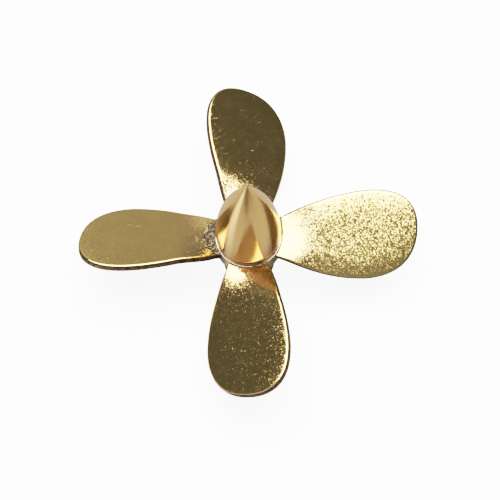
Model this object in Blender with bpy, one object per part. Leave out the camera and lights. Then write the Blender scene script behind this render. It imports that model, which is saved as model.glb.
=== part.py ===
"""A four-blade brass model ship propeller, lying nose up on the rear face of its boss.

The shaft axis is Z. The origin is on the axis at the rear face of the boss, which carries it.
"""
import bmesh
import bpy
from math import cos, pi, radians, sin

# Driving dimensions, in metres
BLADE_RADIUS = 0.025
BLADE_PLANE = 0.0080
SHEET = 0.00120
GAP = 0.0003
RIM_ROUND = 0.00035

# Hub, whose turned edges have a small chamfer
EDGE = 0.00025
BOSS_RADIUS = 0.00385
HEAD_RADIUS = 0.0049
HEAD_BOTTOM = 0.0056
HEAD_TOP = 0.0077
COLLAR_RADIUS = 0.00490
COLLAR_THICK = 0.0005
COLLAR_EDGE = 0.0001
NECK_RADIUS = 0.0042
NECK_HEIGHT = 0.0003
CONE_RADIUS = 0.00482
CONE_FOOT_ROUND = 0.0006
CONE_FOOT_STEPS = 3
CONE_TIP = 0.0248
CONE_POWER = 1.9
THREAD_RADIUS = 0.00165
THREAD_DEPTH = 0.0055
DRILL_POINT = 0.0007
TURNED_SEGMENTS = 48
CONE_STEPS = 13
CONE_SPACING = 0.9

# Blade
ROOT_ARC = HEAD_RADIUS + GAP
PITCH = radians(24.4)
PITCH_AT_AXIS = radians(-4.0)
TWIST_START = 0.0002
TWIST_END = 0.0106
ROOT_DROP = 0.00035
TIP_LEAN = 0.0018

# One name per blade, its place round the axis, and how far its hand-soldered seat is off in
# azimuth and in pitch
BLADES = (
    ("right", 0, 0.75, -1.4),
    ("top", 90, 0.25, 1.1),
    ("left", 180, -0.3, -1.3),
    ("bottom", 270, -0.7, 1.6),
)

# Solder beads, which are a little thinner at their ends and end short of the blade's sides. The
# one in front of the left blade ran out wide.
SOLDER_STEPS = 10
SOLDER_REACH = 0.9
SOLDER_END = 0.7
SOLDER_HEIGHT = 0.0006
SOLDER_WIDTH = 0.0006
SOLDER_WIDTHS = {"front_left": 0.0016}

BRASS = (0.72, 0.55, 0.27, 1.0)
POLISHED = (0.80, 0.62, 0.33, 1.0)
SOLDER = (0.50, 0.49, 0.45, 1.0)


def clear_scene():
    for item in list(bpy.data.objects):
        bpy.data.objects.remove(item, do_unlink=True)


def metal(name, color, roughness):
    made = bpy.data.materials.new(name)
    made.use_nodes = True
    shader = made.node_tree.nodes["Principled BSDF"]
    shader.inputs["Base Color"].default_value = color
    shader.inputs["Roughness"].default_value = roughness
    shader.inputs["Metallic"].default_value = 1.0
    return made


def add_object(name, mesh, material, smooth_angle=35):
    mesh.materials.append(material)
    mesh.shade_smooth()
    mesh.set_sharp_from_angle(angle=radians(smooth_angle))
    item = bpy.data.objects.new(name, mesh)
    bpy.context.scene.collection.objects.link(item)
    return item


def turned(name, profile, material):
    """Spin a profile of (radius, height) points, which starts and ends on the axis, about Z."""
    bm = bmesh.new()
    points = [bm.verts.new((radius, 0.0, height)) for radius, height in profile]
    edges = [bm.edges.new(pair) for pair in zip(points, points[1:])]
    bmesh.ops.spin(bm, geom=points + edges, cent=(0, 0, 0), axis=(0, 0, 1),
                   angle=2 * pi, steps=TURNED_SEGMENTS, use_duplicate=False)
    bmesh.ops.remove_doubles(bm, verts=bm.verts, dist=1e-6)
    bmesh.ops.recalc_face_normals(bm, faces=bm.faces)
    mesh = bpy.data.meshes.new(name)
    bm.to_mesh(mesh)
    bm.free()
    return add_object(name, mesh, material)


def bezier(p0, p1, p2, p3, t):
    """A point on a cubic curve in the plane."""
    a, b, c, d = (1 - t) ** 3, 3 * t * (1 - t) ** 2, 3 * t * t * (1 - t), t ** 3
    return (a * p0[0] + b * p1[0] + c * p2[0] + d * p3[0],
            a * p0[1] + b * p1[1] + c * p2[1] + d * p3[1])


def side_curves(root, slope, root_pull, widest, widest_pull, tip_pull, tip_round):
    """Two curves down one side of the blade, from its root to its widest point and to the tip."""
    tip = (BLADE_RADIUS, TIP_LEAN)
    turn = 1 if widest[1] > 0 else -1
    leave = (root[0] + root_pull * cos(slope), root[1] + turn * root_pull * sin(slope))
    inner = (root, leave, (widest[0] - widest_pull, widest[1]), widest)
    outer = (widest, (widest[0] + tip_pull, widest[1]),
             (BLADE_RADIUS, TIP_LEAN + turn * tip_round), tip)
    return inner, outer


# Outline of a blade, as distance from the axis and distance from the blade's own radial line
RAISED_SIDE = side_curves((0.0050, 0.0035), radians(25), 0.0008, (0.0187, 0.0072),
                          0.0053, 0.0056, 0.0019)
LOWERED_SIDE = side_curves((0.0050, -0.0032), radians(19), 0.0028, (0.0168, -0.0060),
                           0.0059, 0.0026, 0.0067)
INNER_STATIONS = (0.20, 0.34, 0.48, 0.61, 0.74, 0.87, 1.0)
OUTER_STATIONS = (0.14, 0.28, 0.42, 0.55, 0.68, 0.80, 0.90, 0.965)
ACROSS = 8
ROOT_SIDES = (radians(36.5), radians(-34.5))


def blade_rows():
    """Rows of (distance out, distance across) from the root to just short of the tip."""
    rows = []
    wide = [ROOT_SIDES[0] + (ROOT_SIDES[1] - ROOT_SIDES[0]) * i / ACROSS
            for i in range(ACROSS + 1)]
    rows.append([(ROOT_ARC * cos(a), ROOT_ARC * sin(a)) for a in wide])
    for curve, stations in ((0, INNER_STATIONS), (1, OUTER_STATIONS)):
        for t in stations:
            a = bezier(*RAISED_SIDE[curve], t)
            b = bezier(*LOWERED_SIDE[curve], t)
            rows.append([(a[0] + (b[0] - a[0]) * i / ACROSS, a[1] + (b[1] - a[1]) * i / ACROSS)
                         for i in range(ACROSS + 1)])
    return rows


def twisted_share(out):
    """How far the sheet has come from its flat root to its full pitch, from 0 to 1."""
    u = min(max((out - TWIST_START) / (TWIST_END - TWIST_START), 0.0), 1.0)
    return u * u * (3 - 2 * u)


def on_sheet(out, across, off):
    """A point of the pitched sheet, off its middle surface by the given distance."""
    share = twisted_share(out)
    p = PITCH_AT_AXIS + (PITCH - PITCH_AT_AXIS) * share
    rise = across * sin(p) + off * cos(p) - ROOT_DROP * (1 - share)
    return (out, across * cos(p) - off * sin(p), rise)


def blade_mesh():
    rows = blade_rows()
    bm = bmesh.new()
    skins = []
    for off in (SHEET / 2, -SHEET / 2):
        grid = [[bm.verts.new(on_sheet(r, v, off)) for r, v in row] for row in rows]
        tip = bm.verts.new(on_sheet(BLADE_RADIUS, TIP_LEAN, off))
        for low, high in zip(grid, grid[1:]):
            for i in range(ACROSS):
                bm.faces.new((low[i], low[i + 1], high[i + 1], high[i]))
        for i in range(ACROSS):
            bm.faces.new((grid[-1][i], grid[-1][i + 1], tip))
        rim = [row[0] for row in grid] + [tip] + [row[-1] for row in reversed(grid)]
        rim += list(reversed(grid[0][1:-1]))
        skins.append(rim)
    top, under = skins
    for i in range(len(top)):
        j = (i + 1) % len(top)
        bm.faces.new((top[i], top[j], under[j], under[i]))
    bmesh.ops.recalc_face_normals(bm, faces=bm.faces)
    mesh = bpy.data.meshes.new("blade_sheet")
    bm.to_mesh(mesh)
    bm.free()
    return mesh


def round_rim(item):
    bevel = item.modifiers.new("rounded rim", "BEVEL")
    bevel.width = RIM_ROUND
    bevel.segments = 2
    bevel.limit_method = "ANGLE"
    bevel.angle_limit = radians(50)


def solder_mesh(side, width):
    """A bead of solder along a blade's root, on the nose side (1) or on the shaft side (-1)."""
    bm = bmesh.new()
    loops = []
    for i in range(SOLDER_STEPS + 1):
        share = i / SOLDER_STEPS
        a = SOLDER_REACH * (ROOT_SIDES[0] + (ROOT_SIDES[1] - ROOT_SIDES[0]) * share)
        full = SOLDER_END + (1 - SOLDER_END) * sin(pi * share)
        wide, high = width * full, SOLDER_HEIGHT * full
        loop = []
        hollow = (wide * 0.4, high * 0.4)
        for out, up in ((0, 0), (wide, 0), hollow, (0, high)):
            r = ROOT_ARC + out
            x, y, z = on_sheet(r * cos(a), r * sin(a), side * (SHEET / 2 + GAP))
            loop.append(bm.verts.new((x, y, z + side * up)))
        loops.append(loop)
    for low, high in zip(loops, loops[1:]):
        for i in range(4):
            j = (i + 1) % 4
            bm.faces.new((low[i], low[j], high[j], high[i]))
    bm.faces.new(loops[0])
    bm.faces.new(loops[-1])
    bmesh.ops.recalc_face_normals(bm, faces=bm.faces)
    mesh = bpy.data.meshes.new("solder_bead")
    bm.to_mesh(mesh)
    bm.free()
    return mesh


def place(item, place_deg, azimuth_deg, pitch_deg):
    item.location = (0, 0, BLADE_PLANE)
    item.rotation_euler = (radians(pitch_deg), 0, radians(place_deg + azimuth_deg))


def add_boss(material):
    """The boss: a head that the blades stand round, and a neck with the drilled shaft thread."""
    turned("boss", [
        (0, THREAD_DEPTH + DRILL_POINT), (THREAD_RADIUS, THREAD_DEPTH),
        (THREAD_RADIUS, EDGE), (THREAD_RADIUS + EDGE, 0),
        (BOSS_RADIUS - EDGE, 0), (BOSS_RADIUS, EDGE), (BOSS_RADIUS, HEAD_BOTTOM - EDGE),
        (HEAD_RADIUS - EDGE, HEAD_BOTTOM), (HEAD_RADIUS, HEAD_BOTTOM + EDGE),
        (HEAD_RADIUS, HEAD_TOP), (0, HEAD_TOP)], material)


def add_collar(material):
    low = HEAD_TOP + GAP
    high = low + COLLAR_THICK
    inner = COLLAR_RADIUS - COLLAR_EDGE
    turned("collar", [
        (0, low), (inner, low), (COLLAR_RADIUS, low + COLLAR_EDGE),
        (COLLAR_RADIUS, high - COLLAR_EDGE), (inner, high), (0, high)], material)


def add_nose_cone(material):
    """A pointed cone with a rounded foot, on a short neck that leaves a groove over the collar."""
    foot = HEAD_TOP + GAP + COLLAR_THICK + GAP
    body = foot + NECK_HEIGHT
    shoulder = body + CONE_FOOT_ROUND
    profile = [(0, foot), (NECK_RADIUS, foot), (NECK_RADIUS, body)]
    for i in range(CONE_FOOT_STEPS + 1):
        turn = pi / 2 * i / CONE_FOOT_STEPS
        profile.append((CONE_RADIUS - CONE_FOOT_ROUND * (1 - sin(turn)),
                        shoulder - CONE_FOOT_ROUND * cos(turn)))
    for i in range(1, CONE_STEPS):
        u = (i / CONE_STEPS) ** CONE_SPACING
        profile.append((CONE_RADIUS * (1 - u ** CONE_POWER),
                        shoulder + (CONE_TIP - shoulder) * u))
    profile.append((0, CONE_TIP))
    turned("nose_cone", profile, material)


def build():
    clear_scene()
    brass = metal("sheet_brass", BRASS, 0.38)
    turned_brass = metal("turned_brass", BRASS, 0.3)
    polished = metal("polished_brass", POLISHED, 0.16)
    solder = metal("silver_solder", SOLDER, 0.6)
    add_boss(turned_brass)
    add_collar(polished)
    add_nose_cone(polished)
    for name, around, azimuth, pitch in BLADES:
        blade = add_object("blade_" + name, blade_mesh(), brass)
        round_rim(blade)
        place(blade, around, azimuth, pitch)
        for face, side in (("front", 1), ("back", -1)):
            width = SOLDER_WIDTHS.get(face + "_" + name, SOLDER_WIDTH)
            bead = add_object("solder_" + face + "_" + name, solder_mesh(side, width), solder)
            place(bead, around, azimuth, pitch)


build()
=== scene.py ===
"""A small brass model ship propeller on a pale studio floor, seen from above its nose cone."""
from collections import namedtuple
from math import atan2, copysign, cos, pi, radians, sin, tau

import bmesh
import bpy
from mathutils import Matrix, Vector, kdtree, noise


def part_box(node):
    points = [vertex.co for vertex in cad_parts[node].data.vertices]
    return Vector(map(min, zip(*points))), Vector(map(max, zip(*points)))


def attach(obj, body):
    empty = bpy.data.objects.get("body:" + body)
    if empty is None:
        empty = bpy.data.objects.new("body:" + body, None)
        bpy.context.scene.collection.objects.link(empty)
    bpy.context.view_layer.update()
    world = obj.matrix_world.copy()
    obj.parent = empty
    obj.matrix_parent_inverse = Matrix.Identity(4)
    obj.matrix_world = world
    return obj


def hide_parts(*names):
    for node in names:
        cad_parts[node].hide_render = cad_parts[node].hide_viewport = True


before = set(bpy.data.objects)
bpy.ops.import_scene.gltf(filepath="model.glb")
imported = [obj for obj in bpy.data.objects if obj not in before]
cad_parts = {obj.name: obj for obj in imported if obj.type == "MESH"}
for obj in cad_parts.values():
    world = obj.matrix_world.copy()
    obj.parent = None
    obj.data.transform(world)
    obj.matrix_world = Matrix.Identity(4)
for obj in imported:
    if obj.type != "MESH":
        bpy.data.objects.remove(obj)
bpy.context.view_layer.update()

WHITE = (1.0, 1.0, 1.0)

# Light from one direction of the room, a wedge of light or shade on the paper, one side of a
# blade's outline, and the whole outline with what its mesh needs
Glow = namedtuple("Glow", "direction steps tint", defaults=[WHITE])
Wedge = namedtuple("Wedge", "direction narrow steps")
Side = namedtuple("Side", "root slope root_pull widest widest_pull tip_pull tip_round")
Outline = namedtuple("Outline", "points inward tip edge")

# The hub, in metres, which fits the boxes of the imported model's nodes
BOSS_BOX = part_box("boss")
HEAD_RADIUS = BOSS_BOX[1].x
HEAD_TOP = BOSS_BOX[1].z
COLLAR_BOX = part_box("collar")
COLLAR_RADIUS = COLLAR_BOX[1].x
COLLAR_TOP = COLLAR_BOX[1].z
COLLAR_ROUND_BELOW = 0.00008
COLLAR_ROUND_ABOVE = 0.0001
CONE_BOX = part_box("nose_cone")
CONE_RADIUS = CONE_BOX[1].x
CONE_FOOT = CONE_BOX[0].z
CONE_TIP = CONE_BOX[1].z
CONE_FOOT_ROUND = 0.0010
CONE_FOOT_STEPS = 16
CONE_POWER = 1.9
CONE_STEPS = 90
CONE_SPACING = 0.8
NECK_RADIUS = 0.0040
NECK_HEIGHT = 0.0003

# The boss, with the M4 thread for the shaft in its bore
EDGE = 0.00025
BOSS_RADIUS = 0.00385
HEAD_BOTTOM = 0.0056
BORE_RADIUS = 0.00165
BORE_DEPTH = 0.0055
DRILL_POINT = 0.0007
THREAD_PITCH = 0.0007
THREAD_HEIGHT = 0.00035
THREAD_RUN_OUT = 0.0004
THREAD_RINGS = 75
TURNED_SEGMENTS = 160
WELD = 1e-6

# The blades, by name, place round the axis, and how far the hand-soldered seat is off in azimuth
# and in pitch, all in degrees
BLADES = (
    ("right", 0, 0.75, -1.4),
    ("top", 90, 0.25, 1.1),
    ("left", 180, -0.3, -1.3),
    ("bottom", 270, -0.7, 1.6),
)
BLADE_RADIUS = 0.025
BLADE_PLANE = 0.0080
SHEET = 0.00120
PITCH = radians(24.4)
PITCH_AT_AXIS = radians(-4.0)
TWIST_START = 0.0002
TWIST_END = 0.0106
ROOT_DROP = 0.00035
ROOT_RADIUS = HEAD_RADIUS + 0.00001
ROOT_ANGLES = (radians(36.5), radians(-34.5))
ROOT_FADE = 0.0012

# A blade's outline in its own plane. Each side leaves the root at a slope, swells to its widest
# point and closes at the tip, and at each of them its curve is pulled along by a length.
TIP_LEAN = 0.0018
RAISED_SIDE = Side(root=(0.0050, 0.0035), slope=radians(25), root_pull=0.0008,
                   widest=(0.0187, 0.0072), widest_pull=0.0053, tip_pull=0.0056, tip_round=0.0019)
LOWERED_SIDE = Side(root=(0.0050, -0.0032), slope=radians(19), root_pull=0.0028,
                    widest=(0.0168, -0.0060), widest_pull=0.0059, tip_pull=0.0026, tip_round=0.0067)
INNER_FROM = 4
INNER_STEPS = 30
OUTER_STEPS = 34
ACROSS = 40

# The rim's rounded corners, and the steps round it that get the wall's painted shade and dark
# reflection.
# The faces were tumbled a little thinner towards their edges.
RIM_ROUND = 0.00034
RIM_STEPS = 7
WALL_STEPS = range(3, 12)
ROLL = 0.00007
ROLL_WIDTH = 0.0030

# Solder: the curve of its width from the raised side of each root to the lowered side, by two
# ends and two pulls between them, and the shape of its surface
SOLDER_WIDTHS = {
    "front_right": (0.0010, 0.0, 0.0, 0.0001),
    "front_top": (0.0002, 0.0001, 0.0001, 0.0002),
    "front_left": (0.0009, 0.0020, 0.0016, 0.0009),
    "front_bottom": (0.0008, 0.0, 0.0, 0.0001),
    "back_right": (0.0005, 0.0007, 0.0007, 0.0005),
    "back_top": (0.0005, 0.0007, 0.0007, 0.0005),
    "back_left": (0.0006, 0.0009, 0.0009, 0.0005),
    "back_bottom": (0.0005, 0.0007, 0.0007, 0.0005),
}
SOLDER_ALONG = 90
SOLDER_ACROSS = 16
SOLDER_SPREAD = 0.96
SOLDER_STEEP = 0.4
SOLDER_HEIGHT = 0.00018
SOLDER_SUNK = 0.00003
SOLDER_RAGGED = 0.2
SOLDER_WAVES = 7.0
SOLDER_SEED = 1e4
SOLDER_LUMP = 0.00001
SOLDER_LUMP_SCALE = 5200.0
SOLDER_LUMP_FROM = 0.001

# The camera, from the outlines of the blades in the photograph: pixels, metres and degrees
FRAME_PIXELS = 500
FOCAL_PIXELS = 1562.4
SENSOR_MM = 36.0
CAMERA_DISTANCE = 0.2311
CAMERA_ELEVATION = 64.8
CAMERA_AZIMUTH = 2.46
CAMERA_ROLL = 1.64
CAMERA_SIDE = 0.00022
CAMERA_RISE = -0.00172
CAMERA_CLIP = (0.01, 20.0)

# The room is a sum of glows. The steps of each are pairs of how closely a direction agrees with
# the glow's own, from -1 to 1, and of the light that comes from there.
BACK_WALL = Glow((-0.2, 0.96, 0.2), ((0.0, 0.05), (0.45, 0.10), (0.65, 0.11), (0.85, 0.26),
                                     (0.96, 0.36), (1.0, 0.43)))
FRONT_CEILING = Glow((-0.4, -0.75, 0.53), ((0.4, 0.0), (0.6, 0.12), (0.75, 0.22), (1.0, 0.26)))
BLUE_WINDOW = Glow((-0.55, -0.5, 0.67), ((0.8, 0.0), (0.93, 0.29), (1.0, 0.29)), (0.9, 1.0, 1.9))
DOORWAY = Glow((-0.35, 0.82, 0.45), ((0.965, 0.0), (0.99, 0.35), (1.0, 0.35)))
RIGHT_WALL = Glow((0.8, -0.2, 0.56), ((0.75, 0.0), (0.9, 0.1), (1.0, 0.1)))
GLOWS = (BACK_WALL, FRONT_CEILING, BLUE_WINDOW, DOORWAY, RIGHT_WALL)

# The paper: white where the camera sees it and greyer in the brass. Daylight falls on it at the
# front left, and the camera shades it in front. Each is a wedge that opens from the hub, and its
# steps are pairs of the distance, which counts less off its middle, and of how strong it is.
FLOOR_RADIUS = 0.4
PAPER_SEEN = (0.70, 0.70, 0.69)
PAPER_GLOW = (2.6, 2.6, 2.6)
PAPER_REFLECTED = (0.32, 0.315, 0.31)
PAPER_SHADED = (0.03, 0.03, 0.03)
PAPER_ROUGHNESS = 0.9
DAYLIGHT = Wedge((-0.84, -0.54, 0.0), 3.0, ((0.0, 0.0), (0.015, 0.6), (0.05, 1.3), (0.15, 1.6)))
CAMERA_SHADE = Wedge((-0.09, -1.0, 0.0), 1.5, ((0.06, 0.0), (0.1, 0.6), (0.15, 1.0)))

# The softbox overhead. Its light has the shape of a rounded diamond, a little aslant. Its steps
# are pairs of how far out a place is, which is 1 at the reach, and of the light from there.
SOFTBOX_CENTRE = (-0.008, 0.22, 0.62)
SOFTBOX_SIZE = (1.4, 1.2)
SOFTBOX_REACH = (0.53, 0.42, 1.0)
SOFTBOX_SLANT = 0.12
SOFTBOX_POWER = 1.4
SOFTBOX_STEPS = ((0.0, 1.0), (0.74, 1.0), (0.88, 0.75), (0.98, 0.52), (1.02, 0.38), (1.06, 0.1),
                 (1.09, 0.0))
SOFTBOX_WATTS = 42.7
SOFTBOX_COLOR = (1.0, 0.985, 0.96)

# The tone curve: light in the scene and how bright the picture shows it
TONE_WHITE = 5.0
TONE_STEPS = ((0.2, 0.2), (0.42, 0.42), (0.7, 0.575), (1.0, 0.69), (1.5, 0.81), (2.2, 0.89),
              (3.2, 0.95), (5.0, 1.0))

# Marks on the blades, from one end to the other in pixels of the photograph: pale scratches
# and specks of use, dark specks on the bright blade at the right, and brown painted shade on its
# lower edge near the root. Each is full in its core and fades towards its radius.
PALE_MARKS = (
    (126, 225, 133, 225), (134, 226, 143, 226), (117, 228, 117, 228), (143, 252, 143, 252),
    (170, 246, 170, 246), (188, 253, 189, 252), (195, 233, 198, 245),
    (221, 320, 221, 323), (273, 325, 275, 328), (275, 328, 276, 331), (257, 340, 260, 346),
    (240, 350, 243, 352), (243, 352, 246, 350), (232, 347, 233, 351), (244, 346, 244, 346),
    (242, 369, 242, 369), (252, 375, 257, 374), (282, 352, 282, 352), (267, 360, 269, 362),
    (254, 97, 254, 97), (258, 123, 261, 122), (278, 142, 278, 142), (274, 152, 274, 152),
    (250, 151, 254, 150), (208, 108, 208, 108), (212, 118, 220, 118),
)
DARK_MARKS = (
    (334, 212, 335, 213), (408, 202, 408, 202), (308, 231, 308, 231), (300, 256, 303, 256),
    (301, 258, 306, 258), (364, 194, 364, 194), (391, 215, 391, 215),
)
# Painted shade: a brown patch on the right blade's lower edge near the root, where its highlight
# falls off
EDGE_STAINS = ((296, 259, 307, 262),)
MARK_RADIUS = 0.00008
MARK_DEPTH = 0.002
MARK_CORE = 0.4
STAIN_RADIUS = 0.0006

# Colours of the metals. Where there are two, random patches or crystals range between them.
SHEET_BRASS = ((0.77, 0.565, 0.205), (0.83, 0.61, 0.23))
HEATED_BRASS = (0.76, 0.50, 0.22)
# The colour of the painted shade on the right blade's lower edge
STAINED_BRASS = (0.30, 0.21, 0.09)
SCRATCHED_BRASS = (0.86, 0.74, 0.42)
DIRT = (0.10, 0.08, 0.05)
# Painted shade and dark reflection on the wall of the rims
CUT_BRASS = ((0.07, 0.04, 0.02), (0.22, 0.15, 0.08))
SOLDER_COLORS = ((0.03, 0.023, 0.014), (0.16, 0.125, 0.08))

# The sheet's heat tint and its grain, which both change with the distance from the shaft axis.
# The power makes dull crystals rare.
HEAT_REACH = (0.0065, 0.0125)
GRAIN_REACH = (0.008, 0.0135)
GRAIN_ROUGHNESS = (0.18, 0.09)
GRAIN_POWER = 3.0
SHEET_ROUGHNESS = 0.09
SCRATCH_ROUGHNESS = 0.32

# The sockets of a colour mix node
MIX_SHARE = 0
MIX_FIRST = 6
MIX_SECOND = 7
MIX_RESULT = 2


class Nodes:
    """Short calls for building the nodes of a material, a light or the world."""

    def __init__(self, tree):
        self.tree = tree

    def add(self, kind, **values):
        node = self.tree.nodes.new(kind)
        for name, value in values.items():
            setattr(node, name, value)
        return node

    def link(self, source, target):
        self.tree.links.new(source, target)

    def feed(self, socket, value):
        """Links a socket's value into another, or sets a plain number, vector or colour."""
        if isinstance(value, bpy.types.NodeSocket):
            self.link(value, socket)
        elif socket.type == "RGBA":
            socket.default_value = (*value, 1)
        else:
            socket.default_value = value

    def math(self, operation, first, second=0.0):
        node = self.add("ShaderNodeMath", operation=operation)
        self.feed(node.inputs[0], first)
        self.feed(node.inputs[1], second)
        return node.outputs["Value"]

    def vector(self, operation, *values):
        """A vector, or the number that a length or a dot product gives."""
        node = self.add("ShaderNodeVectorMath", operation=operation)
        for socket, value in zip(node.inputs, values):
            self.feed(socket, value)
        return node.outputs["Value" if operation in ("LENGTH", "DOT_PRODUCT") else "Vector"]

    def mix(self, share, first, second):
        """A colour between two, by a share from 0 to 1."""
        node = self.add("ShaderNodeMix", data_type="RGBA")
        self.feed(node.inputs[MIX_SHARE], share)
        self.feed(node.inputs[MIX_FIRST], first)
        self.feed(node.inputs[MIX_SECOND], second)
        return node.outputs[MIX_RESULT]

    def spread(self, value, low, high, to_low, to_high):
        """The value, moved from one range to another and held inside it."""
        node = self.add("ShaderNodeMapRange")
        for name, bound in (("From Min", low), ("From Max", high),
                            ("To Min", to_low), ("To Max", to_high)):
            node.inputs[name].default_value = bound
        self.link(value, node.inputs["Value"])
        return node.outputs["Result"]

    def ramp(self, value, steps, tint=WHITE):
        """The light for a value, over steps of (value, light)."""
        node = self.add("ShaderNodeValToRGB")
        elements = node.color_ramp.elements
        low, high = steps[0][0], steps[-1][0]
        while len(elements) < len(steps):
            elements.new(0.5)
        for element, (place, light) in zip(elements, steps):
            element.position = (place - low) / (high - low)
            element.color = (*(light * part for part in tint), 1)
        self.link(self.spread(value, low, high, 0.0, 1.0), node.inputs["Fac"])
        return node.outputs["Color"]

    def seen_directly(self):
        """1 where the camera looks straight at a surface, and 0 in reflections and shadows."""
        return self.add("ShaderNodeLightPath").outputs["Is Camera Ray"]


class Surface(Nodes):
    """The nodes of one material, with the patterns that the metals share."""

    def __init__(self, name, color, roughness, metallic=1.0):
        self.material = bpy.data.materials.new(name)
        self.material.use_nodes = True
        super().__init__(self.material.node_tree)
        self.shader = self.tree.nodes["Principled BSDF"]
        self.set("Base Color", color)
        self.set("Roughness", roughness)
        self.set("Metallic", metallic)
        self.place = self.add("ShaderNodeTexCoord").outputs["Object"]

    def set(self, socket, value):
        self.feed(self.shader.inputs[socket], value)

    def from_axis(self):
        """Distance from the shaft axis."""
        return self.vector("LENGTH", self.vector("MULTIPLY", self.place, (1, 1, 0)))

    def patches(self, scale, low=0.0, high=1.0, contrast=(0.3, 0.7), detail=3.0):
        """Soft random patches between two values, over a part of the noise's range."""
        node = self.add("ShaderNodeTexNoise")
        node.inputs["Scale"].default_value = scale
        node.inputs["Detail"].default_value = detail
        self.link(self.place, node.inputs["Vector"])
        return self.spread(node.outputs["Fac"], *contrast, low, high)

    def crystals(self, scale, tilt):
        """A normal that leans its own way in each crystal of etched metal, and a random number
        of the crystal's own."""
        cells = self.add("ShaderNodeTexVoronoi")
        cells.inputs["Scale"].default_value = scale
        self.link(self.place, cells.inputs["Vector"])
        color = cells.outputs["Color"]
        lean = self.vector("SUBTRACT", color, (0.5, 0.5, 0.5))
        upright = self.add("ShaderNodeNewGeometry").outputs["Normal"]
        leaning = self.vector("MULTIPLY_ADD", lean, (tilt, tilt, tilt), upright)
        split = self.add("ShaderNodeSeparateColor")
        self.link(color, split.inputs["Color"])
        return self.vector("NORMALIZE", leaning), split.outputs["Blue"]

    def from_mark(self, mark, radius):
        """Distance from the middle of a mark, with 1 where it ends in that direction."""
        x0, y0, x1, y1 = mark
        start = seen_in_photo(x0, y0)
        end = seen_in_photo(x1, y1)
        along = end - start
        node = self.add("ShaderNodeMapping", vector_type="TEXTURE")
        node.inputs["Location"].default_value = (start + end) / 2
        node.inputs["Rotation"].default_value = (0, 0, atan2(along.y, along.x))
        node.inputs["Scale"].default_value = (along.length / 2 + radius, radius, MARK_DEPTH)
        self.link(self.place, node.inputs["Vector"])
        return self.vector("LENGTH", node.outputs["Vector"])

    def spots(self, marks, radius):
        """1 on each of the marks, which are lines or specks, and 0 off them."""
        nearest = self.from_mark(marks[0], radius)
        for mark in marks[1:]:
            nearest = self.math("MINIMUM", nearest, self.from_mark(mark, radius))
        return self.spread(nearest, MARK_CORE, 1.0, 1.0, 0.0)


def add_camera():
    """A long lens that looks down on the nose, with the hub a little above the middle."""
    tilt = radians(90 - CAMERA_ELEVATION)
    right = Vector((1, 0, 0))
    up = Vector((0, cos(tilt), sin(tilt)))
    back = Vector((0, -sin(tilt), cos(tilt)))
    roll = radians(CAMERA_ROLL)
    side = right * cos(roll) - up * sin(roll)
    top = right * sin(roll) + up * cos(roll)
    place = side * CAMERA_SIDE + top * CAMERA_RISE + back * CAMERA_DISTANCE
    turn = Matrix.Rotation(radians(CAMERA_AZIMUTH), 3, "Z")
    axes = Matrix((turn @ side, turn @ top, turn @ back)).transposed()
    data = bpy.data.cameras.new("camera")
    data.sensor_width = SENSOR_MM
    data.lens = SENSOR_MM * FOCAL_PIXELS / FRAME_PIXELS
    data.clip_start, data.clip_end = CAMERA_CLIP
    item = bpy.data.objects.new("camera", data)
    item.matrix_world = (Matrix.Translation(turn @ place + Vector((0, 0, BLADE_PLANE)))
                         @ axes.to_4x4())
    bpy.context.scene.collection.objects.link(item)
    bpy.context.scene.camera = item


def seen_in_photo(x, y):
    """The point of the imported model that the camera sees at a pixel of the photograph."""
    scene = bpy.context.scene
    eye = scene.camera.matrix_world
    toward = Vector((x - FRAME_PIXELS / 2, FRAME_PIXELS / 2 - y, -FOCAL_PIXELS))
    shown = bpy.context.evaluated_depsgraph_get()
    return scene.ray_cast(shown, eye.translation, eye.to_3x3() @ toward)[1]


def strength_on_paper(nodes, place, wedge):
    """How strong a wedge is at a place on the paper."""
    side = (-wedge.direction[1], wedge.direction[0], 0.0)
    along = nodes.vector("DOT_PRODUCT", place, wedge.direction)
    off = nodes.math("ABSOLUTE", nodes.vector("DOT_PRODUCT", place, side))
    inside = nodes.math("SUBTRACT", along, nodes.math("MULTIPLY", off, wedge.narrow))
    return nodes.ramp(inside, wedge.steps)


def pale_paper():
    """Paper that the exposure turns white, as in the photograph, but grey in the reflections."""
    m = Surface("pale_paper", PAPER_SEEN, PAPER_ROUGHNESS, metallic=0.0)
    seen = m.seen_directly()
    shade = strength_on_paper(m, m.place, CAMERA_SHADE)
    reflected = m.mix(shade, PAPER_REFLECTED, PAPER_SHADED)
    daylight = strength_on_paper(m, m.place, DAYLIGHT)
    m.set("Base Color", m.mix(seen, reflected, PAPER_SEEN))
    m.set("Specular IOR Level", 0.0)
    m.set("Emission Color", m.mix(seen, daylight, PAPER_GLOW))
    m.set("Emission Strength", 1.0)
    return m.material


def add_floor():
    """A sheet of paper that reaches past the picture on every side."""
    bm = bmesh.new()
    bmesh.ops.create_circle(bm, cap_ends=True, segments=96, radius=FLOOR_RADIUS)
    mesh = bpy.data.meshes.new("floor")
    bm.to_mesh(mesh)
    bm.free()
    mesh.materials.append(pale_paper())
    item = bpy.data.objects.new("floor", mesh)
    bpy.context.scene.collection.objects.link(item)


def shade_softbox(light):
    """Fades the light towards its rim, which is rounded, so that the highlights end softly."""
    light.use_nodes = True
    nodes = Nodes(light.node_tree)
    place = nodes.add("ShaderNodeNewGeometry").outputs["Position"]
    shift = nodes.vector("SUBTRACT", place, SOFTBOX_CENTRE)
    split = nodes.add("ShaderNodeSeparateXYZ")
    nodes.link(nodes.vector("DIVIDE", shift, SOFTBOX_REACH), split.inputs["Vector"])
    across = split.outputs["X"]
    slant = nodes.math("MULTIPLY", across, SOFTBOX_SLANT)
    back = nodes.math("ADD", split.outputs["Y"], slant)
    powers = [nodes.math("POWER", nodes.math("ABSOLUTE", part), SOFTBOX_POWER)
              for part in (across, back)]
    fade = nodes.ramp(nodes.math("ADD", *powers), SOFTBOX_STEPS)
    nodes.link(fade, nodes.tree.nodes["Emission"].inputs["Strength"])


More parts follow.
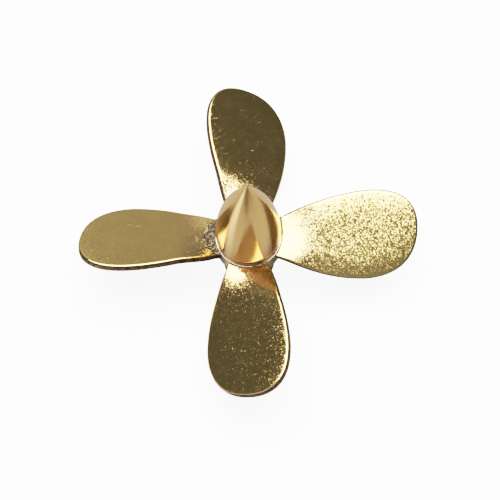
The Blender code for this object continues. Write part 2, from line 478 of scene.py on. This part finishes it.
def add_softbox():
    """A wide soft light that faces straight down."""
    light = bpy.data.lights.new("softbox", "AREA")
    light.shape = "RECTANGLE"
    light.size, light.size_y = SOFTBOX_SIZE
    light.energy = SOFTBOX_WATTS
    light.color = SOFTBOX_COLOR
    shade_softbox(light)
    item = bpy.data.objects.new("softbox", light)
    item.location = SOFTBOX_CENTRE
    bpy.context.scene.collection.objects.link(item)


def light_of(nodes, where, glow):
    """The light that a glow sends from each direction."""
    agreement = nodes.vector("DOT_PRODUCT", where, glow.direction)
    return nodes.ramp(agreement, glow.steps, glow.tint)


def add_room():
    """A dim room for the brass to mirror, and plain white where the camera looks past the paper."""
    world = bpy.data.worlds.new("room")
    bpy.context.scene.world = world
    world.use_nodes = True
    nodes = Nodes(world.node_tree)
    where = nodes.add("ShaderNodeTexCoord").outputs["Generated"]
    light = light_of(nodes, where, GLOWS[0])
    for glow in GLOWS[1:]:
        light = nodes.vector("ADD", light, light_of(nodes, where, glow))
    room = nodes.tree.nodes["Background"]
    nodes.link(light, room.inputs["Color"])
    backdrop = nodes.add("ShaderNodeBackground")
    nodes.feed(backdrop.inputs["Color"], WHITE)
    nodes.feed(backdrop.inputs["Strength"], TONE_WHITE)
    mixed = nodes.add("ShaderNodeMixShader")
    nodes.link(nodes.seen_directly(), mixed.inputs[0])
    nodes.link(room.outputs[0], mixed.inputs[1])
    nodes.link(backdrop.outputs[0], mixed.inputs[2])
    nodes.link(mixed.outputs[0], nodes.tree.nodes["World Output"].inputs["Surface"])


def expose_like_a_photo():
    """A shoulder that lets bright brass go pale instead of orange, as a camera does."""
    view = bpy.context.scene.view_settings
    view.view_transform = "Standard"
    view.use_curve_mapping = True
    tone = view.curve_mapping
    tone.white_level = (TONE_WHITE, TONE_WHITE, TONE_WHITE)
    points = tone.curves[-1].points
    points[-1].location = (1.0, TONE_STEPS[-1][1])
    for light, shown in TONE_STEPS[:-1]:
        points.new(light / TONE_WHITE, shown)
    for point in points:
        point.handle_type = "AUTO_CLAMPED"
    tone.update()


def add_studio():
    """A pale floor, one wide soft light overhead and a dim room."""
    add_floor()
    add_room()
    add_softbox()
    expose_like_a_photo()


def sheet_brass():
    """Sheet brass that was pickled after soldering: a fine grain of crystals that is rougher near
    the root, the tint of the heat there, brown painted shade on one lower edge, and the scratches
    and dirt of use."""
    m = Surface("sheet_brass", (0.80, 0.60, 0.25), roughness=0.1)
    scratches = m.spots(PALE_MARKS, MARK_RADIUS)
    near_root = m.spread(m.from_axis(), *HEAT_REACH, 1.0, 0.0)
    heat = m.math("MULTIPLY", near_root, m.patches(scale=500, low=0.3, contrast=(0.35, 0.6)))
    tone = m.mix(m.patches(scale=420), *SHEET_BRASS)
    tone = m.mix(heat, tone, HEATED_BRASS)
    # Painted shade: the right blade's lower edge near the root goes brown where its highlight falls
    # off
    tone = m.mix(m.spots(EDGE_STAINS, STAIN_RADIUS), tone, STAINED_BRASS)
    tone = m.mix(scratches, tone, SCRATCHED_BRASS)
    m.set("Base Color", m.mix(m.spots(DARK_MARKS, MARK_RADIUS), tone, DIRT))
    normal, own = m.crystals(scale=6000, tilt=0.1)
    m.set("Normal", normal)
    dullness = m.spread(m.from_axis(), *GRAIN_REACH, *GRAIN_ROUGHNESS)
    dull = m.math("MULTIPLY", m.math("POWER", own, GRAIN_POWER), dullness)
    grain = m.math("ADD", dull, SHEET_ROUGHNESS)
    m.set("Roughness", m.math("MAXIMUM", grain, m.math("MULTIPLY", scratches, SCRATCH_ROUGHNESS)))
    return m.material


def polished_brass():
    """The cone as it left the lathe and the polishing cloth, with the turning marks round it."""
    m = Surface("polished_brass", (0.86, 0.54, 0.23), roughness=0.17)
    m.set("Roughness", m.patches(scale=900, low=0.15, high=0.2))
    m.set("Anisotropic", 0.85)
    m.set("Anisotropic Rotation", 0.25)
    around = m.add("ShaderNodeTangent", direction_type="RADIAL", axis="Z")
    m.set("Tangent", around.outputs["Tangent"])
    return m.material


def cut_edge():
    """The wall of the rims, which was cut and filed, painted dark brown for the shade and the dark
    reflection that it shows.
    """
    m = Surface("cut_edge", (0.16, 0.10, 0.05), roughness=0.4)
    m.set("Base Color", m.mix(m.patches(scale=1800, contrast=(0.35, 0.65)), *CUT_BRASS))
    m.set("Roughness", m.patches(scale=2500, low=0.3, high=0.5, detail=2.0))
    m.set("Normal", m.crystals(scale=5000, tilt=0.12)[0])
    return m.material


def collar_brass():
    """The ring under the cone, which is paler than the rest."""
    m = Surface("collar_brass", (0.72, 0.62, 0.46), roughness=0.2)
    m.set("Roughness", m.patches(scale=900, low=0.16, high=0.26))
    return m.material


def turned_brass():
    """The boss as it left the lathe."""
    m = Surface("turned_brass", (0.80, 0.60, 0.26), roughness=0.22)
    m.set("Roughness", m.patches(scale=900, low=0.16, high=0.28))
    return m.material


def silver_solder():
    """Solder that the pickle left dull, in crystals that lean far, dark brown and grey-brown."""
    m = Surface("silver_solder", (0.18, 0.16, 0.13), roughness=0.4)
    normal, own = m.crystals(scale=6500, tilt=0.5)
    m.set("Base Color", m.mix(own, *SOLDER_COLORS))
    m.set("Roughness", m.patches(scale=2500, low=0.32, high=0.5, detail=2.0))
    m.set("Normal", normal)
    return m.material


def finish_piece(name, bm, material, node, smooth_angle=40):
    """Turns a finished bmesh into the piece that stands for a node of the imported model."""
    mesh = bpy.data.meshes.new(name)
    bmesh.ops.recalc_face_normals(bm, faces=bm.faces)
    bm.to_mesh(mesh)
    bm.free()
    mesh.shade_smooth()
    mesh.set_sharp_from_angle(angle=radians(smooth_angle))
    mesh.materials.append(material)
    item = bpy.data.objects.new(name, mesh)
    bpy.context.scene.collection.objects.link(item)
    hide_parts(node)
    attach(item, "root")
    return item


def turned(profile):
    """Spin a profile of (radius, height) points about the shaft axis."""
    bm = bmesh.new()
    points = [bm.verts.new((r, 0.0, z)) for r, z in profile]
    edges = [bm.edges.new(pair) for pair in zip(points, points[1:])]
    bmesh.ops.spin(bm, geom=points + edges, cent=(0, 0, 0), axis=(0, 0, 1),
                   angle=tau, steps=TURNED_SEGMENTS, use_duplicate=False)
    bmesh.ops.remove_doubles(bm, verts=bm.verts, dist=WELD)
    return bm


def join_rings(bm, rings):
    """Faces between each closed ring of points and the next, as a list of bands."""
    bands = []
    for low, high in zip(rings, rings[1:]):
        band = []
        for i in range(len(low)):
            j = (i + 1) % len(low)
            band.append(bm.faces.new((low[i], low[j], high[j], high[i])))
        bands.append(band)
    return bands


def join_rows(bm, rows):
    """Faces between each open row of points and the next."""
    for low, high in zip(rows, rows[1:]):
        for i in range(len(low) - 1):
            bm.faces.new((low[i], low[i + 1], high[i + 1], high[i]))


def rounded(corner_in, corner, corner_out, radius, steps=6):
    """Points of an arc-like curve that rounds the corner between two straight runs."""
    corner = Vector(corner)
    start = corner + (Vector(corner_in) - corner).normalized() * radius
    end = corner + (Vector(corner_out) - corner).normalized() * radius
    points = []
    for i in range(steps + 1):
        t = i / steps
        points.append(tuple(start * (1 - t) ** 2 + corner * 2 * t * (1 - t) + end * t * t))
    return points


def add_cone(material):
    """The pointed cone: a short neck, a rounded foot, and sides that curve in to the tip."""
    body = CONE_FOOT + NECK_HEIGHT
    shoulder = body + CONE_FOOT_ROUND
    profile = [(0, COLLAR_TOP), (NECK_RADIUS, COLLAR_TOP), (NECK_RADIUS, body)]
    for i in range(CONE_FOOT_STEPS + 1):
        turn = pi / 2 * i / CONE_FOOT_STEPS
        profile.append((CONE_RADIUS - CONE_FOOT_ROUND * (1 - sin(turn)),
                        shoulder - CONE_FOOT_ROUND * cos(turn)))
    for i in range(1, CONE_STEPS):
        u = (i / CONE_STEPS) ** CONE_SPACING
        profile.append((CONE_RADIUS * (1 - u ** CONE_POWER),
                        shoulder + (CONE_TIP - shoulder) * u))
    profile.append((0, CONE_TIP))
    finish_piece("nose_cone_polished", turned(profile), material, "nose_cone")


def add_collar(material):
    """The ring under the cone, which stands a little proud of it all round."""
    low = (COLLAR_RADIUS, HEAD_TOP)
    high = (COLLAR_RADIUS, COLLAR_TOP)
    profile = [(0, HEAD_TOP)]
    profile += rounded((0, HEAD_TOP), low, high, COLLAR_ROUND_BELOW)
    profile += rounded(low, high, (0, COLLAR_TOP), COLLAR_ROUND_ABOVE)
    profile += [(0, COLLAR_TOP)]
    finish_piece("collar_ring", turned(profile), material, "collar")


def thread_radius(height, turn):
    """The wall of the threaded bore, which runs out flush at both ends of the thread."""
    share = (height / THREAD_PITCH - turn) % 1.0
    depth = 1 - abs(2 * share - 1)
    ends = min(height - EDGE, BORE_DEPTH - height) / THREAD_RUN_OUT
    return BORE_RADIUS + THREAD_HEIGHT * depth * min(max(ends, 0.0), 1.0)


def add_thread(bm):
    """The helical wall of the bore, from the chamfer at its mouth to the drilled end."""
    rings = []
    for i in range(THREAD_RINGS + 1):
        height = EDGE + (BORE_DEPTH - EDGE) * i / THREAD_RINGS
        ring = []
        for k in range(TURNED_SEGMENTS):
            turn = k / TURNED_SEGMENTS
            r = thread_radius(height, turn)
            ring.append(bm.verts.new((r * cos(tau * turn), r * sin(tau * turn), height)))
        rings.append(ring)
    join_rings(bm, rings)


def add_boss(material):
    """The boss: a head that the blades stand round, and a neck with the threaded shaft bore."""
    bm = turned([(0, BORE_DEPTH + DRILL_POINT), (BORE_RADIUS, BORE_DEPTH)])
    outside = turned([
        (BORE_RADIUS, EDGE), (BORE_RADIUS + EDGE, 0), (BOSS_RADIUS - EDGE, 0), (BOSS_RADIUS, EDGE),
        (BOSS_RADIUS, HEAD_BOTTOM - EDGE), (HEAD_RADIUS - EDGE, HEAD_BOTTOM),
        (HEAD_RADIUS, HEAD_BOTTOM + EDGE), (HEAD_RADIUS, HEAD_TOP), (0, HEAD_TOP)])
    mesh = bpy.data.meshes.new("outside")
    outside.to_mesh(mesh)
    outside.free()
    bm.from_mesh(mesh)
    add_thread(bm)
    bmesh.ops.remove_doubles(bm, verts=bm.verts, dist=WELD)
    finish_piece("boss_turned", bm, material, "boss", smooth_angle=30)


def bezier(p0, p1, p2, p3, t):
    """The value at t of a curve from p0 to p3, pulled towards the two values between them."""
    a, b, c, d = (1 - t) ** 3, 3 * t * (1 - t) ** 2, 3 * t * t * (1 - t), t ** 3
    return a * p0 + b * p1 + c * p2 + d * p3


def on_curve(corners, t):
    """The point at t of a curve in the plane, by its two ends and the two pulls between them."""
    return Vector([bezier(*values, t) for values in zip(*corners)])


def on_hub(angle):
    """The point of the plane where the blade meets the hub at an angle."""
    return Vector((ROOT_RADIUS * cos(angle), ROOT_RADIUS * sin(angle)))


def side_curves(side):
    """Two curves down one side of the blade, from its root to its widest point and to the tip."""
    turn = copysign(1, side.widest[1])
    leave = (side.root[0] + side.root_pull * cos(side.slope),
             side.root[1] + turn * side.root_pull * sin(side.slope))
    swell = (side.widest[0] - side.widest_pull, side.widest[1])
    close = (side.widest[0] + side.tip_pull, side.widest[1])
    turn_in = (BLADE_RADIUS, TIP_LEAN + turn * side.tip_round)
    tip = (BLADE_RADIUS, TIP_LEAN)
    return (side.root, leave, swell, side.widest), (side.widest, close, turn_in, tip)


def side_points(side, root_angle):
    """Points down one side of a blade's outline, from the hub to the tip."""
    inner, outer = side_curves(side)
    points = [on_hub(root_angle)]
    points += [on_curve(inner, i / INNER_STEPS) for i in range(INNER_FROM, INNER_STEPS + 1)]
    points += [on_curve(outer, sin(pi / 2 * i / OUTER_STEPS)) for i in range(1, OUTER_STEPS + 1)]
    return points


def inward_from(points):
    """The direction into the blade at each point of its outline, shorter close to the hub."""
    directions = []
    for i, point in enumerate(points):
        along = points[(i + 1) % len(points)] - points[i - 1]
        fade = min(max((point.length - ROOT_RADIUS) / ROOT_FADE, 0.0), 1.0)
        directions.append(Vector((along.y, -along.x)).normalized() * fade)
    return directions


def free_edge(points):
    """A search tree of the blade's free edge, which tells how near a point of the plane is."""
    edge = kdtree.KDTree(len(points))
    for i, point in enumerate(points):
        edge.insert((*point, 0), i)
    edge.balance()
    return edge


def blade_outline():
    """The outline from the root of the raised side, round the tip and back along the hub."""
    raised = side_points(RAISED_SIDE, ROOT_ANGLES[0])
    lowered = side_points(LOWERED_SIDE, ROOT_ANGLES[1])
    span = ROOT_ANGLES[0] - ROOT_ANGLES[1]
    arc = [on_hub(ROOT_ANGLES[1] + span * i / ACROSS) for i in range(1, ACROSS)]
    free = raised + lowered[-2::-1]
    points = free + arc
    return Outline(points, inward_from(points), len(raised) - 1, free_edge(free))


def on_sheet(point, off):
    """A point of the pitched sheet, off its middle surface by the given distance."""
    u = min(max((point[0] - TWIST_START) / (TWIST_END - TWIST_START), 0.0), 1.0)
    share = u * u * (3 - 2 * u)
    pitch = PITCH_AT_AXIS + (PITCH - PITCH_AT_AXIS) * share
    rise = point[1] * sin(pitch) + off * cos(pitch) - ROOT_DROP * (1 - share)
    return Vector((point[0], point[1] * cos(pitch) - off * sin(pitch), rise))


def thinning(point, edge):
    """How far the tumbled face lies under the full sheet's at a point of the plane."""
    near = edge.find((point[0], point[1], 0))[2]
    return ROLL * max(0.0, 1 - near / ROLL_WIDTH) ** 2


def rim_section():
    """Points round the rim, from the nose side to the shaft side: how far each lies in from the
    outline and off the middle surface."""
    corner = []
    for i in range(RIM_STEPS + 1):
        turn = pi / 2 * i / RIM_STEPS
        corner.append((RIM_ROUND * (1 - sin(turn)), SHEET / 2 - RIM_ROUND * (1 - cos(turn))))
    return corner + [(inset, -off) for inset, off in reversed(corner)]


def rim_ring(bm, outline, inset, off):
    """One ring of points round the rim."""
    ring = []
    for point, inward in zip(outline.points, outline.inward):
        place = point + inward * inset
        thin = copysign(thinning(place, outline.edge), off)
        ring.append(bm.verts.new(on_sheet(place, off - thin)))
    return ring


def add_face(bm, outline, ring, facing):
    """A blade's face inside its ring of the rim, on the nose side (1) or the shaft side (-1)."""
    border = [point + inward * RIM_ROUND for point, inward in zip(outline.points, outline.inward)]
    # The ring ends with the arc along the hub, which is the first row
    rows = [[ring[-i] for i in range(ACROSS + 1)]]
    for k in range(1, outline.tip):
        row = [ring[k]]
        for i in range(1, ACROSS):
            point = border[k].lerp(border[2 * outline.tip - k], i / ACROSS)
            off = facing * (SHEET / 2 - thinning(point, outline.edge))
            row.append(bm.verts.new(on_sheet(point, off)))
        rows.append(row + [ring[2 * outline.tip - k]])
    join_rows(bm, rows)
    for i in range(ACROSS):
        bm.faces.new((rows[-1][i], rows[-1][i + 1], ring[outline.tip]))


def blade_bmesh():
    """A blade: two faces that share an outline, joined by a rim with rounded corners."""
    bm = bmesh.new()
    outline = blade_outline()
    rings = [rim_ring(bm, outline, inset, off) for inset, off in rim_section()]
    for step, band in enumerate(join_rings(bm, rings)):
        for face in band:
            # The wall steps take the rim material, whose dark brown is painted shade and dark
            # reflection
            face.material_index = int(step in WALL_STEPS)
    add_face(bm, outline, rings[0], 1)
    add_face(bm, outline, rings[-1], -1)
    return bm


def solder_width(piece, facing, share):
    """How far a bead reaches from the hub, by the share of the way along it."""
    start, pull, late_pull, end = SOLDER_WIDTHS[piece]
    wave = noise.noise(Vector((share * SOLDER_WAVES, facing, start * SOLDER_SEED)))
    return bezier(start, pull, late_pull, end, share) * (1 + SOLDER_RAGGED * wave)


def solder_section(width, angle, facing):
    """Points across a bead, from the hub outwards, and how far each stands off the blade."""
    height = min(width * SOLDER_STEEP, SOLDER_HEIGHT)
    lumpiness = SOLDER_LUMP * min(1, width / SOLDER_LUMP_FROM)
    section = []
    for k in range(SOLDER_ACROSS + 1):
        out = k / SOLDER_ACROSS
        r = HEAD_RADIUS + width * out
        point = (r * cos(angle), r * sin(angle))
        lump = lumpiness * noise.noise(Vector((*point, facing)) * SOLDER_LUMP_SCALE)
        rise = max(height * (1 - out) ** 2 + lump, 0.0)
        section.append((point, rise if out < 1 else 0.0))
    return section


def rim_of(rows):
    """The points round the border of a grid, in order."""
    return (rows[0] + [row[-1] for row in rows[1:-1]] + rows[-1][::-1]
            + [row[0] for row in rows[-2:0:-1]])


def solder_bmesh(piece, facing):
    """Solder along a blade's root, on the nose side (1) or the shaft side (-1): it leans against
    the hub, thins out to a ragged edge and is lumpy where it is wide."""
    bm = bmesh.new()
    under = []
    outer = []
    for i in range(SOLDER_ALONG + 1):
        share = i / SOLDER_ALONG
        angle = SOLDER_SPREAD * (ROOT_ANGLES[0] + (ROOT_ANGLES[1] - ROOT_ANGLES[0]) * share)
        section = solder_section(solder_width(piece, facing, share), angle, facing)
        under.append([bm.verts.new(on_sheet(point, facing * (SHEET / 2 - SOLDER_SUNK)))
                      for point, rise in section])
        outer.append([bm.verts.new(on_sheet(point, facing * (SHEET / 2 + rise)))
                      for point, rise in section])
    join_rows(bm, under)
    join_rows(bm, outer)
    join_rings(bm, [rim_of(under), rim_of(outer)])
    return bm


def blade_place(around, azimuth, pitch):
    """Where a blade stands on the hub, from lying along the X axis."""
    return (Matrix.Translation((0, 0, BLADE_PLANE))
            @ Matrix.Rotation(radians(around + azimuth), 4, "Z")
            @ Matrix.Rotation(radians(pitch), 4, "X"))


def add_blades(sheet, edge, solder):
    """The four blades, each with its solder in front and behind."""
    for name, around, azimuth, pitch in BLADES:
        place = blade_place(around, azimuth, pitch)
        bm = blade_bmesh()
        bm.transform(place)
        blade = finish_piece("blade_" + name + "_sheet", bm, sheet, "blade_" + name,
                             smooth_angle=60)
        # The second material is the rim wall's, with painted shade and dark reflection
        blade.data.materials.append(edge)
        for face, facing in (("front", 1), ("back", -1)):
            piece = face + "_" + name
            bead = solder_bmesh(piece, facing)
            bead.transform(place)
            finish_piece("bead_" + piece, bead, solder, "solder_" + piece,
                         smooth_angle=60)


def build():
    """The camera comes first, because the marks on the sheet are placed by what it sees."""
    add_camera()
    add_studio()
    add_cone(polished_brass())
    add_collar(collar_brass())
    add_boss(turned_brass())
    add_blades(sheet_brass(), cut_edge(), silver_solder())


build()
